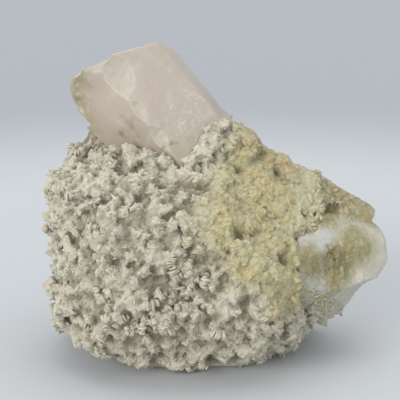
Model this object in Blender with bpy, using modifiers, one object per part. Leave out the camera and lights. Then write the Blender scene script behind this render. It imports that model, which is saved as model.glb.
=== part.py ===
"""A pink morganite crystal on cleavelandite matrix, with quartz grown at one end.

The specimen stands on a flat break of its underside. X runs to the right along its
longest side, Y to the back and Z up, in metres. The origin lies on the rest face.
"""

import math
import random

import bmesh
import bpy
from mathutils import Matrix, Vector

SEED = 20
FIT_GAP = 0.00036
BLOCK_START = 0.200
MERGE_WITHIN = 0.00008

# A broken or grown body is a block cut down to its faces. Each row gives the way a
# face looks, in degrees round from +X and degrees up, and its reach from the middle.
MATRIX_MIDDLE = Vector((0.0, 0.0, 0.037))
MATRIX_FACES = {
    "underside": (0, -90, 0.0400),
    "top": (276, 64, 0.0322),
    "crest": (80, 86, 0.0410),
    "left top": (190, 65, 0.0445),
    "stained slope": (310, 47, 0.0310),
    "back slope": (40, 52, 0.0393),
    "right end": (355, 8, 0.0500),
    "right under": (350, -42, 0.0430),
    "left flank": (180, -3, 0.0500),
    "left shoulder": (185, 45, 0.0530),
    "left under": (200, -58, 0.0455),
    "front": (268, 5, 0.0375),
    "front upper": (262, 44, 0.0380),
    "front under": (272, -40, 0.0370),
    "front left": (222, 2, 0.0455),
    "front right": (318, -8, 0.0410),
    "front right under": (315, -40, 0.0405),
    "back": (88, 6, 0.0365),
    "back upper": (95, 48, 0.0400),
    "back left": (140, 5, 0.0445),
    "back right": (42, 2, 0.0435),
    "back under": (92, -48, 0.0395),
}
MATRIX_ROUNDING = 0.006
# Lumps of the matrix that climb round the foot of the crystal: middle and half size.
MATRIX_LUMPS = {
    "left stub": (Vector((-0.0375, 0.0200, 0.0700)), Vector((0.0060, 0.0080, 0.0085))),
    "right peak": (Vector((0.0065, 0.0025, 0.0725)), Vector((0.0110, 0.0090, 0.0075))),
    "back saddle": (Vector((-0.0110, 0.0260, 0.0700)), Vector((0.0240, 0.0125, 0.0140))),
}

# Cleavelandite blades stand on edge out of the matrix. They grow no lower than
# REST_BAND, so the break that the specimen stands on stays bare.
BLADE_SPACING = 0.0071
BLADE_WIDTH = (0.0115, 0.0165)
BLADE_HEIGHT = (0.7, 1.0)
BLADE_THICKNESS = (0.0026, 0.0040)
BLADE_SIDES = (5, 6)
BLADE_LEAN = math.radians(50)
BLADE_TAPER = 0.80
BLADE_SINK = 0.0022
REST_BAND = 0.003

# Blunt grains cover the stained slope.
SLOPE_DEPTH = 0.004
GRAIN_SPACING = 0.0066
GRAIN_WIDTH = (0.0038, 0.0062)
GRAIN_BREADTH = (0.7, 1.0)
GRAIN_FLATNESS = (0.30, 0.55)

# Points of the crust are drawn this many times, and keep clear of the quartz.
SPREAD_TRIES = 20000
QUARTZ_MARGIN = 0.0010

# Pits between the blades and grains: middle and radius.
PITS = (
    (Vector((0.0186, 0.0020, 0.0703)), 0.0030),
    (Vector((0.0112, -0.0100, 0.0663)), 0.0026),
    (Vector((-0.0140, -0.0170, 0.0680)), 0.0032),
    (Vector((0.0280, -0.0265, 0.0390)), 0.0038),
    (Vector((0.0344, -0.0200, 0.0190)), 0.0030),
    (Vector((-0.0300, -0.0330, 0.0430)), 0.0034),
    (Vector((-0.0050, 0.0400, 0.0480)), 0.0036),
)

# Morganite: a stubby six-sided prism, measured in its own frame with its axis along
# Z and its ridge to the front. Its root is buried in the matrix.
MORGANITE_MIDDLE = Vector((-0.0232, 0.0173, 0.0865))
MORGANITE_AXIS = Vector((-0.625, 0.231, 0.746))
MORGANITE_SIDE = Vector((0.780, 0.162, 0.604))
MORGANITE_FACES = {
    "front left": (226.8, 0, 0.0175),
    "front right": (286.8, 0, 0.0192),
    "right": (346.8, 0, 0.0200),
    "back right": (46.8, 0, 0.0142),
    "back left": (106.8, 0, 0.0183),
    "left": (166.8, 0, 0.0174),
    "termination": (20, 70, 0.0124),
    "top corner": (330, 25, 0.0238),
    "broken left corner": (190, 34, 0.0232),
    "ridge chip": (256.8, 25, 0.0236),
    "root": (0, -90, 0.0340),
}
MORGANITE_EDGE = 0.0006

# Quartz: two glassy lobes with shell-like breaks, grown together at the right end.
LOWER_LOBE_MIDDLE = Vector((0.046, -0.002, 0.031))
LOWER_LOBE_FACES = {
    "right": (0, 10, 0.0170),
    "right under": (355, -38, 0.0112),
    "right top": (5, 53, 0.0186),
    "ledge": (300, 80, 0.0172),
    "window": (304, 42, 0.0156),
    "front": (305, 10, 0.0130),
    "front under": (300, -35, 0.0125),
    "back": (70, 0, 0.0160),
    "back under": (60, -35, 0.0140),
    "buried": (180, 0, 0.0160),
    "bottom": (0, -90, 0.0170),
}
UPPER_LOBE_MIDDLE = Vector((0.049, 0.005, 0.050))
UPPER_LOBE_FACES = {
    "slope": (310, 47, 0.0038),
    "back slope": (40, 52, 0.0056),
    "right": (355, 15, 0.0092),
    "right under": (350, -45, 0.0085),
    "front under": (300, -30, 0.0120),
    "back": (85, 0, 0.0140),
    "buried": (180, 0, 0.0120),
    "bottom": (0, -90, 0.0100),
}
LOWER_LOBE_ROUNDING = 0.0035
UPPER_LOBE_ROUNDING = 0.0020
LOBE_ROUND_STEPS = 2
# Dishes that the breaks left in the quartz: middle and half size.
QUARTZ_DISHES = {
    "window": (Vector((0.0547, -0.0387, 0.0399)), Vector((0.0250, 0.0250, 0.0250))),
    "stained pocket": (Vector((0.0530, -0.0211, 0.0342)), Vector((0.0085, 0.0085, 0.0085))),
    "right under": (Vector((0.0772, -0.0048, 0.0066)), Vector((0.0300, 0.0300, 0.0300))),
    "seam": (Vector((0.0450, -0.0035, 0.0522)), Vector((0.0075, 0.0045, 0.0015))),
}

# How finely a ball is faceted: each step splits a face of the one before in four.
PIT_STEPS = 1
LUMP_STEPS = 2
DISH_STEPS = 3

# Finish of each piece: colour, roughness and how much light it lets through.
FINISHES = {
    "cleavelandite_matrix": ((0.70, 0.66, 0.55), 0.62, 0.0),
    "morganite_crystal": ((0.80, 0.62, 0.55), 0.22, 0.6),
    "quartz": ((0.74, 0.70, 0.60), 0.18, 0.5),
}


def look(azimuth, elevation):
    """The direction that is azimuth degrees round from +X and elevation degrees up."""
    around, up = math.radians(azimuth), math.radians(elevation)
    return Vector(
        (math.cos(up) * math.cos(around), math.cos(up) * math.sin(around), math.sin(up))
    )


def cut_block(middle, faces):
    """A block round middle, cut down to faces."""
    bm = bmesh.new()
    bmesh.ops.create_cube(bm, size=BLOCK_START, matrix=Matrix.Translation(middle))
    for azimuth, elevation, reach in faces.values():
        outward = look(azimuth, elevation)
        cut = bmesh.ops.bisect_plane(
            bm,
            geom=bm.verts[:] + bm.edges[:] + bm.faces[:],
            dist=1e-6,
            plane_co=middle + outward * reach,
            plane_no=outward,
            clear_outer=True,
        )
        rim = [part for part in cut["geom_cut"] if isinstance(part, bmesh.types.BMEdge)]
        bmesh.ops.holes_fill(bm, edges=rim)
    bmesh.ops.recalc_face_normals(bm, faces=bm.faces)
    return bm


def round_lumps(rows, steps):
    """Faceted balls, each at its middle and with its half size."""
    bm = bmesh.new()
    for middle, half_size in rows:
        placed = Matrix.LocRotScale(middle, None, half_size)
        bmesh.ops.create_icosphere(bm, subdivisions=steps, radius=1, matrix=placed)
    return bm


def add_cutter(name, bm):
    """The bmesh as a cutter, which is not a piece of the specimen."""
    mesh = bpy.data.meshes.new(name)
    bm.to_mesh(mesh)
    bm.free()
    cutter = bpy.data.objects.new(name, mesh)
    cutter.hide_render = True
    cutter.display_type = "WIRE"
    bpy.data.collections["cutters"].objects.link(cutter)
    return cutter


def add_piece(name, mesh):
    """The mesh as a piece of the specimen, with its own finish."""
    colour, roughness, transmission = FINISHES[name]
    material = bpy.data.materials.new(name)
    material.use_nodes = True
    shader = material.node_tree.nodes["Principled BSDF"]
    shader.inputs["Base Color"].default_value = (*colour, 1.0)
    shader.inputs["Roughness"].default_value = roughness
    shader.inputs["Metallic"].default_value = 0.0
    shader.inputs["Transmission Weight"].default_value = transmission
    mesh.materials.clear()
    mesh.materials.append(material)
    piece = bpy.data.objects.new(name, mesh)
    bpy.data.collections["morganite_specimen"].objects.link(piece)
    return piece


def round_edges(piece, width, steps):
    """Rounds every edge of the piece over width."""
    bevel = piece.modifiers.new("rounded_edges", "BEVEL")
    bevel.limit_method = "NONE"
    bevel.width = width
    bevel.segments = steps
    weld = piece.modifiers.new("no_slivers", "WELD")
    weld.merge_threshold = MERGE_WITHIN


def combine(piece, other, operation, crossing=False):
    """Joins other to the piece or cuts it away. Crossing is for parts that overlap."""
    boolean = piece.modifiers.new(other.name, "BOOLEAN")
    boolean.operation = operation
    boolean.object = other
    boolean.use_self = crossing


def finished_mesh(piece):
    """A mesh of the piece as its modifiers leave it."""
    bpy.context.view_layer.update()
    depsgraph = bpy.context.evaluated_depsgraph_get()
    return bpy.data.meshes.new_from_object(piece.evaluated_get(depsgraph))


def without_chips(mesh):
    """The mesh with only its largest body, without chips that the cuts left loose."""
    bm = bmesh.new()
    bm.from_mesh(mesh)
    left = set(bm.verts)
    bodies = []
    while left:
        body = {left.pop()}
        rim = set(body)
        while rim:
            rim = {edge.other_vert(vert) for vert in rim for edge in vert.link_edges} - body
            body |= rim
        left -= body
        bodies.append(body)
    bodies.sort(key=len)
    for body in bodies[:-1]:
        bmesh.ops.delete(bm, geom=list(body), context="VERTS")
    bm.to_mesh(mesh)
    bm.free()
    return mesh


def spread_over(mesh, spacing, rng):
    """Points on the mesh, at least spacing from each other, with the normal at each."""
    mesh.calc_loop_triangles()
    triangles = mesh.loop_triangles[:]
    areas = [triangle.area for triangle in triangles]
    kept = []
    for triangle in rng.choices(triangles, weights=areas, k=SPREAD_TRIES):
        a, b, c = (mesh.vertices[corner].co for corner in triangle.vertices)
        u, v = sorted((rng.random(), rng.random()))
        point = a * u + b * (v - u) + c * (1 - v)
        if all((point - other).length > spacing for other, _ in kept):
            kept.append((point, triangle.normal.copy()))
    return kept


def on_slope(point):
    """Whether the point lies on the stained slope."""
    azimuth, elevation, reach = MATRIX_FACES["stained slope"]
    return (point - MATRIX_MIDDLE).dot(look(azimuth, elevation)) > reach - SLOPE_DEPTH


def clear_of(piece, point):
    """Whether the point lies outside the piece and not close to it."""
    _, nearest, outward, _ = piece.closest_point_on_mesh(point)
    return (point - nearest).dot(outward) > QUARTZ_MARGIN


def facing(direction, rng):
    """A turn that brings Z to the direction, with a random roll about it."""
    roll = Matrix.Rotation(rng.uniform(0, math.tau), 3, "Z").to_quaternion()
    return direction.to_track_quat("Z", "Y") @ roll


def add_blade(bm, point, outward, rng):
    """A tapered blade, standing on edge at the point with a random lean."""
    along = outward.orthogonal().normalized()
    along.rotate(Matrix.Rotation(rng.uniform(0, math.tau), 3, outward))
    across = outward.cross(along)
    across.rotate(Matrix.Rotation(rng.uniform(-BLADE_LEAN, BLADE_LEAN), 3, along))
    width = rng.uniform(*BLADE_WIDTH)
    size = (width, width * rng.uniform(*BLADE_HEIGHT), rng.uniform(*BLADE_THICKNESS))
    placed = Matrix.LocRotScale(point - outward * BLADE_SINK, facing(across, rng), size)
    bmesh.ops.create_cone(
        bm,
        cap_ends=True,
        segments=rng.choice(BLADE_SIDES),
        radius1=0.5,
        radius2=0.5 * BLADE_TAPER,
        depth=1,
        matrix=placed,
    )


def add_grain(bm, point, outward, rng):
    """A blunt grain, half sunk at the point."""
    width = rng.uniform(*GRAIN_WIDTH)
    size = (width, width * rng.uniform(*GRAIN_BREADTH), width * rng.uniform(*GRAIN_FLATNESS))
    placed = Matrix.LocRotScale(point, facing(outward, rng), size)
    bmesh.ops.create_icosphere(bm, subdivisions=1, radius=1, matrix=placed)


def make_morganite():
    """The crystal, from its own frame set into place."""
    axis = MORGANITE_AXIS.normalized()
    side = (MORGANITE_SIDE - axis * MORGANITE_SIDE.dot(axis)).normalized()
    turned = Matrix((side, axis.cross(side), axis)).transposed().to_4x4()
    bm = cut_block(Vector(), MORGANITE_FACES)
    bmesh.ops.transform(bm, matrix=Matrix.Translation(MORGANITE_MIDDLE) @ turned, verts=bm.verts)
    blank = add_cutter("morganite_blank", bm)
    round_edges(blank, MORGANITE_EDGE, 1)
    return add_piece("morganite_crystal", finished_mesh(blank))


def make_quartz():
    """The two lobes joined in one, with the dishes of their breaks.

    Returns the quartz and, for its socket, the lobes without the dishes.
    """
    lobes = add_cutter("lower_lobe", cut_block(LOWER_LOBE_MIDDLE, LOWER_LOBE_FACES))
    round_edges(lobes, LOWER_LOBE_ROUNDING, LOBE_ROUND_STEPS)
    upper = add_cutter("upper_lobe", cut_block(UPPER_LOBE_MIDDLE, UPPER_LOBE_FACES))
    round_edges(upper, UPPER_LOBE_ROUNDING, LOBE_ROUND_STEPS)
    combine(lobes, upper, "UNION")
    whole = finished_mesh(lobes)
    for name, row in QUARTZ_DISHES.items():
        combine(lobes, add_cutter(name, round_lumps([row], DISH_STEPS)), "DIFFERENCE")
    return add_piece("quartz", finished_mesh(lobes)), whole


def make_matrix(sockets, rng):
    """The matrix with its crust, cut to take the sockets' pieces and to rest flat."""
    core = add_cutter("core", cut_block(MATRIX_MIDDLE, MATRIX_FACES))
    round_edges(core, MATRIX_ROUNDING, 1)
    lumps = add_cutter("lumps", round_lumps(MATRIX_LUMPS.values(), LUMP_STEPS))
    combine(core, lumps, "UNION", crossing=True)
    ground = finished_mesh(core)

    quartz = bpy.data.objects["quartz"]
    crust = bmesh.new()
    for point, outward in spread_over(ground, BLADE_SPACING, rng):
        if point.z > REST_BAND and not on_slope(point) and clear_of(quartz, point):
            add_blade(crust, point, outward, rng)
    for point, outward in spread_over(ground, GRAIN_SPACING, rng):
        if on_slope(point) and clear_of(quartz, point):
            add_grain(crust, point, outward, rng)
    combine(core, add_cutter("crust", crust), "UNION", crossing=True)

    pit_rows = [(middle, Vector((radius, radius, radius))) for middle, radius in PITS]
    combine(core, add_cutter("pits", round_lumps(pit_rows, PIT_STEPS)), "DIFFERENCE")
    for name, mesh in sockets.items():
        hollow = bmesh.new()
        hollow.from_mesh(mesh)
        socket = add_cutter(name, hollow)
        swell = socket.modifiers.new("fit_gap", "DISPLACE")
        swell.strength = FIT_GAP
        swell.mid_level = 0.0
        combine(core, socket, "DIFFERENCE")
    below = bmesh.new()
    placed = Matrix.Translation((0, 0, -BLOCK_START / 2))
    bmesh.ops.create_cube(below, size=BLOCK_START, matrix=placed)
    combine(core, add_cutter("below_rest", below), "DIFFERENCE")
    return add_piece("cleavelandite_matrix", without_chips(finished_mesh(core)))


def main():
    for old in list(bpy.data.objects):
        bpy.data.objects.remove(old)
    for name in ("morganite_specimen", "cutters"):
        bpy.context.scene.collection.children.link(bpy.data.collections.new(name))
    rng = random.Random(SEED)
    crystal = make_morganite()
    _, whole_quartz = make_quartz()
    make_matrix({"crystal_socket": crystal.data, "quartz_socket": whole_quartz}, rng)


main()
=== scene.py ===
"""The looks of a pink morganite crystal on cleavelandite, with quartz at one end.

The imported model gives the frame: its nodes are the main forms, in metres, with X to
the right, Y to the back and Z up. Each class below makes one sub-assembly over them.
"""
import logging
import math
from dataclasses import dataclass, replace
from enum import Enum

import bmesh
import bpy
import numpy as np
from bpy.types import ID, Material, Mesh, Node, NodeOutputs, NodeSocket, NodeTree, Object
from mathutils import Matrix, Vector
from mathutils.bvhtree import BVHTree


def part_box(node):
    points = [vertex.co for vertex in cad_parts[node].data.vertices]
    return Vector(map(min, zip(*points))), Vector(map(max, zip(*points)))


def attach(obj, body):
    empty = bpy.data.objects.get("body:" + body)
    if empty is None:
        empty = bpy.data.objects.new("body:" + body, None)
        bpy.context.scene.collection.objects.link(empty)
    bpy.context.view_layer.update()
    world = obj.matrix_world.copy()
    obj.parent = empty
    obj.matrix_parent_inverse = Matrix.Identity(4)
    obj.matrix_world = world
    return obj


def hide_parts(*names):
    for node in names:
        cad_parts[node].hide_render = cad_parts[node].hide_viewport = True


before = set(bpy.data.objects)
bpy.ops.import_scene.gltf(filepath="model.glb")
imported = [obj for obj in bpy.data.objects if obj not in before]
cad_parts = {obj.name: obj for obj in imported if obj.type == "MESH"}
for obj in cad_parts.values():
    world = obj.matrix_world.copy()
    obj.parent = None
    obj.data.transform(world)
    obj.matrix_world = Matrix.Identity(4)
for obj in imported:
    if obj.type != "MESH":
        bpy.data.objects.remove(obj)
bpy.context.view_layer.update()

MM = 0.001
BLOCK_CORNERS = 13
BLOCK_RADIUS = 1.05
Points = np.ndarray
Place = tuple[float, float, float]
Colour = tuple[float, float, float]
# The middle of each spot and its radius, in millimetres.
Spots = tuple[tuple[float, float, float, float], ...]

log = logging.getLogger("specimen")


def look(azimuth: float, elevation: float) -> Points:
    """The direction that is azimuth degrees round from +X and elevation degrees up.

    Args:
        azimuth: Degrees from +X towards +Y.
        elevation: Degrees above the floor.

    Returns:
        A unit vector.
    """
    around, up = math.radians(azimuth), math.radians(elevation)
    return np.array(
        (math.cos(up) * math.cos(around), math.cos(up) * math.sin(around), math.sin(up))
    )


def ramp(values: Points, low: float, high: float) -> Points:
    """A smooth step of the values, from 0 at low to 1 at high.

    Args:
        values: Any array.
        low: The value that gives 0.
        high: The value that gives 1.

    Returns:
        An array of the same shape, between 0 and 1.
    """
    part = np.clip((values - low) / (high - low), 0.0, 1.0)
    return part * part * (3.0 - 2.0 * part)


def unit(vectors: Points) -> Points:
    """The vectors, each scaled to length 1.

    Args:
        vectors: An array whose last axis is X, Y, Z.

    Returns:
        An array of the same shape.
    """
    length = np.linalg.norm(vectors, axis=-1, keepdims=True)
    return vectors / np.maximum(length, 1e-12)


def spread(points: Points, spacing: Points, rng: np.random.Generator) -> Points:
    """Picks points that keep a distance from each other.

    Args:
        points: Places in metres.
        spacing: The distance that each keeps.
        rng: The source of random values.

    Returns:
        The numbers of the chosen points.
    """
    cell = float(spacing.max())
    grid: dict[tuple[int, int, int], list[int]] = {}
    keys = np.floor(points / cell).astype(int)
    chosen = []
    for index in rng.permutation(len(points)):
        kx, ky, kz = keys[index]
        near = [
            other
            for x in (kx - 1, kx, kx + 1)
            for y in (ky - 1, ky, ky + 1)
            for z in (kz - 1, kz, kz + 1)
            for other in grid.get((x, y, z), ())
        ]
        if near:
            gaps = np.sum((points[near] - points[index]) ** 2, axis=1)
            if gaps.min() < spacing[index] ** 2:
                continue
        grid.setdefault((kx, ky, kz), []).append(int(index))
        chosen.append(int(index))
    return np.array(chosen)


class Grain:
    """Random values that vary smoothly through space, the same each run."""

    TABLE = 4096
    LAYER_STEP = 31
    OCTAVE_SHARE = 0.55
    OCTAVE_SHIFT = 0.37
    FAR = 9.0
    TILT = 1.6

    def __init__(self, seed: int) -> None:
        """Fills the tables.

        Args:
            seed: Another seed gives other values.
        """
        rng = np.random.default_rng(seed)
        self.values = rng.random(self.TABLE)
        self.order = rng.permutation(self.TABLE)

    def at(self, cells: Points, layer: int = 0) -> Points:
        """The random value of each whole-numbered cell.

        Args:
            cells: Whole numbers, with X, Y, Z on the last axis.
            layer: Another layer gives other values.

        Returns:
            Values between 0 and 1.
        """
        mask = self.TABLE - 1
        first = self.order[(cells[..., 0] + self.LAYER_STEP * layer) & mask]
        second = self.order[(first + cells[..., 1]) & mask]
        return self.values[(self.order[(second + cells[..., 2]) & mask] + layer) & mask]

    def smooth(self, points: Points, size: float) -> Points:
        """Smooth hills and hollows of about the given size.

        Args:
            points: Places in metres.
            size: The distance from a hill to a hollow.

        Returns:
            Values between -1 and 1.
        """
        scaled = points / size
        cell = np.floor(scaled).astype(np.int64)
        part = scaled - cell
        part = part * part * (3.0 - 2.0 * part)
        total = np.zeros(len(points))
        for corner in np.ndindex(2, 2, 2):
            share = np.prod(np.where(np.array(corner) == 1, part, 1.0 - part), axis=1)
            total += share * self.at(cell + np.array(corner))
        return 2.0 * total - 1.0

    def fractal(self, points: Points, size: float, octaves: int) -> Points:
        """Hills with smaller hills on them, each octave half the size of the last.

        Args:
            points: Places in metres.
            size: The distance from a hill to a hollow in the first octave.
            octaves: How many sizes are added.

        Returns:
            Values between about -1 and 1.
        """
        total, share = np.zeros(len(points)), 0.0
        for octave in range(octaves):
            weight = self.OCTAVE_SHARE**octave
            moved = points + self.OCTAVE_SHIFT * octave
            total += weight * self.smooth(moved, size * 0.5**octave)
            share += weight
        return total / share

    def facets(self, points: Points, size: float) -> tuple[Points, Points]:
        """Cells of about the given size, each with a tilted flat top.

        Args:
            points: Places in metres.
            size: The width of a cell.

        Returns:
            The height of the tilted tops between -1 and 1, and how near the border
            between two cells is, from 0 at the border.
        """
        scaled = points / size
        base = np.floor(scaled).astype(np.int64)
        best = np.full(len(points), self.FAR)
        second = np.full(len(points), self.FAR)
        height = np.zeros(len(points))
        for step in np.ndindex(3, 3, 3):
            cell = base + np.array(step) - 1
            seed = np.stack([self.at(cell, layer) for layer in (1, 2, 3)], axis=1)
            away = scaled - (cell + seed)
            distance = np.linalg.norm(away, axis=1)
            tilt = np.stack([self.at(cell, layer) for layer in (4, 5, 6)], axis=1) - 0.5
            top = self.TILT * np.sum(away * tilt, axis=1) + self.at(cell, 7) - 0.5
            nearer = distance < best
            second = np.where(nearer, best, np.minimum(second, distance))
            height = np.where(nearer, top, height)
            best = np.where(nearer, distance, best)
        return height, second - best


def placed(name: str, data: ID) -> Object:
    """Puts a new object in the scene.

    Args:
        name: The object's name.
        data: Its mesh, light or camera.

    Returns:
        The object.
    """
    made = bpy.data.objects.new(name, data)
    bpy.context.scene.collection.objects.link(made)
    return made


def keep_values(mesh: Mesh, values: dict[str, Points]) -> None:
    """Keeps numbers at the mesh's vertices, for its finish to read.

    Args:
        mesh: A mesh.
        values: One number for each vertex, under each name.
    """
    for key, numbers in values.items():
        layer = mesh.attributes.new(key, "FLOAT", "POINT")
        layer.data.foreach_set("value", numbers.astype(np.float32))


def bitten_off(points: Points, bites: Spots) -> tuple[Points, Points]:
    """Pushes a surface out of round bites.

    Args:
        points: Places on the surface, in metres.
        bites: Where the bites are and how wide.

    Returns:
        The moved points, and how deep in a bite each was; less than 0 outside them all.
    """
    deepest = np.full(len(points), -np.inf)
    for *place, radius in bites:
        away = points - np.array(place) * MM
        length = np.linalg.norm(away, axis=1)
        depth = radius * MM - length
        points = points + (away / length[:, None]) * np.maximum(depth, 0.0)[:, None]
        deepest = np.maximum(deepest, depth)
    return points, deepest


def block(rng: np.random.Generator) -> tuple[Points, Points]:
    """An angular block about 1 in radius.

    Args:
        rng: The source of random values.

    Returns:
        Its corners, and its triangles as numbers of corners.
    """
    bm = bmesh.new()
    for way in unit(rng.normal(size=(BLOCK_CORNERS, 3))):
        bm.verts.new(way * BLOCK_RADIUS)
    bmesh.ops.convex_hull(bm, input=bm.verts[:])
    bm.verts.index_update()
    corners = np.array([vert.co for vert in bm.verts])
    faces = np.array([[vert.index for vert in face.verts] for face in bm.faces])
    bm.free()
    return corners, faces


class Form:
    """A closed surface as arrays, at an even mesh size."""

    def __init__(self, solid: Mesh, voxel: float, rounds: int) -> None:
        """Remeshes a solid.

        Args:
            solid: A closed mesh, or several that overlap.
            voxel: Mesh size in metres.
            rounds: How often the surface is smoothed.
        """
        source = placed("source", solid.copy())
        remesh = source.modifiers.new("even", "REMESH")
        remesh.mode = "VOXEL"
        remesh.voxel_size = voxel
        depsgraph = bpy.context.evaluated_depsgraph_get()
        self.mesh = bpy.data.meshes.new_from_object(source.evaluated_get(depsgraph))
        bpy.data.objects.remove(source)
        self.mesh.materials.clear()
        self.read()
        for _ in range(rounds):
            self.points = self.eased(self.points, 0.5)
        self.normals = self.facing()

    def read(self) -> None:
        """Takes the arrays from the mesh."""
        count = len(self.mesh.vertices)
        flat = np.zeros(count * 3, np.float32)
        self.mesh.vertices.foreach_get("co", flat)
        self.points = flat.reshape(count, 3).astype(float)
        pairs = np.zeros(len(self.mesh.edges) * 2, np.int64)
        self.mesh.edges.foreach_get("vertices", pairs)
        self.edges = pairs.reshape(-1, 2)
        self.degree = np.bincount(self.edges.ravel(), minlength=count)

    def eased(self, values: Points, share: float) -> Points:
        """The values at the vertices, each moved towards its neighbours' mean.

        Args:
            values: One number or one row for each vertex.
            share: How far each moves, up to 1.

        Returns:
            An array of the same shape.
        """
        total = np.zeros_like(values)
        np.add.at(total, self.edges[:, 0], values[self.edges[:, 1]])
        np.add.at(total, self.edges[:, 1], values[self.edges[:, 0]])
        degree = self.degree.reshape(-1, *[1] * (values.ndim - 1))
        return values + share * (total / degree - values)

    def facing(self) -> Points:
        """Puts the points in the mesh and reads its normals.

        Returns:
            The unit normal at each vertex.
        """
        self.mesh.vertices.foreach_set("co", self.points.astype(np.float32).ravel())
        self.mesh.update()
        flat = np.zeros(len(self.points) * 3, np.float32)
        self.mesh.vertices.foreach_get("normal", flat)
        return flat.reshape(-1, 3).astype(float)

    def finish(self, name: str, values: dict[str, Points], smooth: bool) -> Object:
        """The surface as a piece.

        Args:
            name: The piece's name.
            values: What the finish reads at each vertex.
            smooth: Whether the faces are shaded smooth.

        Returns:
            The new object.
        """
        self.facing()
        keep_values(self.mesh, values)
        self.mesh.polygons.foreach_set("use_smooth", [smooth] * len(self.mesh.polygons))
        return placed(name, self.mesh)


def add_piece(piece: Object, finish: Material) -> None:
    """Puts the piece on the body with its slot and finish, and reports it.

    Args:
        piece: A mesh object in place.
        finish: The material.
    """
    piece.data.materials.append(finish)
    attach(piece, "root")
    piece.data.calc_loop_triangles()
    log.info("%s: %d triangles", piece.name, len(piece.data.loop_triangles))


def patches(points: Points, spots: Spots) -> Points:
    """Soft round patches about the spots, from 0 away from them to 1 at a spot.

    Args:
        points: Places in metres.
        spots: Where they lie and how wide they are.

    Returns:
        One value for each point.
    """
    total = np.zeros(len(points))
    for *place, radius in spots:
        away = np.linalg.norm(points - np.array(place) * MM, axis=1) / (radius * MM)
        total = np.maximum(total, np.exp(-away * away))
    return total


class Zone:
    """Where each kind of surface of the matrix lies, worked out from its forms."""

    MIDDLE = np.array((0.0, 0.0, 0.037))
    SLOPE = look(310, 47)
    SLOPE_REACH = 0.031
    SPREAD = 3.0 * MM
    SPREAD_RIGHT = 9.0 * MM
    RIGHT = (5 * MM, 35 * MM)
    RIGHT_END = (20 * MM, 34 * MM)
    HIGH = (40 * MM, 48 * MM)
    SOFT = 2.5 * MM
    RAGGED = 3.5 * MM
    RAGGED_WIDTH = 9 * MM
    CREST = 56 * MM
    CREST_LEAN = 0.65
    LEFT_EDGE = 4 * MM
    EDGE_SHARE = 1.6
    TINT = 1.25
    TINT_PATCHES = 0.6
    TINT_WIDTH = 5 * MM
    TINT_SOFT = 7 * MM
    RUST_WIDTH = 3.5 * MM
    RUST_SPOTS = (
        (13.0, -20.0, 50.0, 6.0), (25.0, 1.0, 66.0, 6.0), (12.0, 3.0, 76.0, 5.0),
        (44.0, -4.0, 53.0, 7.0), (30.0, -22.0, 33.0, 4.0), (8.0, -16.0, 60.0, 3.5),
        (47.0, -17.0, 35.0, 6.0), (-40.0, 22.0, 76.0, 8.0),
    )

    def __init__(self) -> None:
        """Makes the random values that the zones share."""
        self.grain = Grain(5)

    def across(self, points: Points, soft: float) -> Points:
        """How far each point is in the slope, from 0 to 1.

        Args:
            points: Places in metres.
            soft: Half the width of the slope's edge, in metres.

        Returns:
            One value for each point.
        """
        below = self.SLOPE_REACH - (points - self.MIDDLE) @ self.SLOPE
        reach = self.SPREAD + self.SPREAD_RIGHT * ramp(points[:, 0], *self.RIGHT)
        ragged = self.RAGGED * self.grain.fractal(points, self.RAGGED_WIDTH, 3)
        edge = self.CREST_LEAN * np.maximum(points[:, 2] - self.CREST, 0.0) - self.LEFT_EDGE
        wide = self.EDGE_SHARE * soft
        left = ramp(points[:, 0] + 2.0 * ragged - edge, -wide, wide)
        return left * (1.0 - ramp(below + ragged, reach - soft, reach + soft))

    def stained(self, points: Points) -> Points:
        """How far each point is in the massive slope, from 0 to 1."""
        return self.across(points, self.SOFT)

    def right_end(self, points: Points) -> Points:
        """How far each point is in the smoother right end of the slope, from 0 to 1."""
        return ramp(points[:, 0], *self.RIGHT_END)

    def tinted(self, points: Points) -> Points:
        """How far the slope's stain has reached each point.

        Args:
            points: Places in metres.

        Returns:
            One value for each point, from 0 to 1.
        """
        patchy = self.grain.fractal(points + 0.9, self.TINT_WIDTH, 3)
        right = self.right_end(points) * ramp(points[:, 2], *self.HIGH)
        share = (self.TINT + self.TINT_PATCHES * patchy) * (1.0 - 0.45 * right)
        return np.clip(self.across(points, self.TINT_SOFT) * share, 0, 1)

    def rust(self, points: Points) -> Points:
        """How much iron stain lies at each point, from 0 to 1.

        Args:
            points: Places in metres.

        Returns:
            One value for each point.
        """
        total = patches(points, self.RUST_SPOTS)
        patchy = ramp(self.grain.fractal(points + 0.5, self.RUST_WIDTH, 3), -0.35, 0.45)
        return total * patchy


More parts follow.
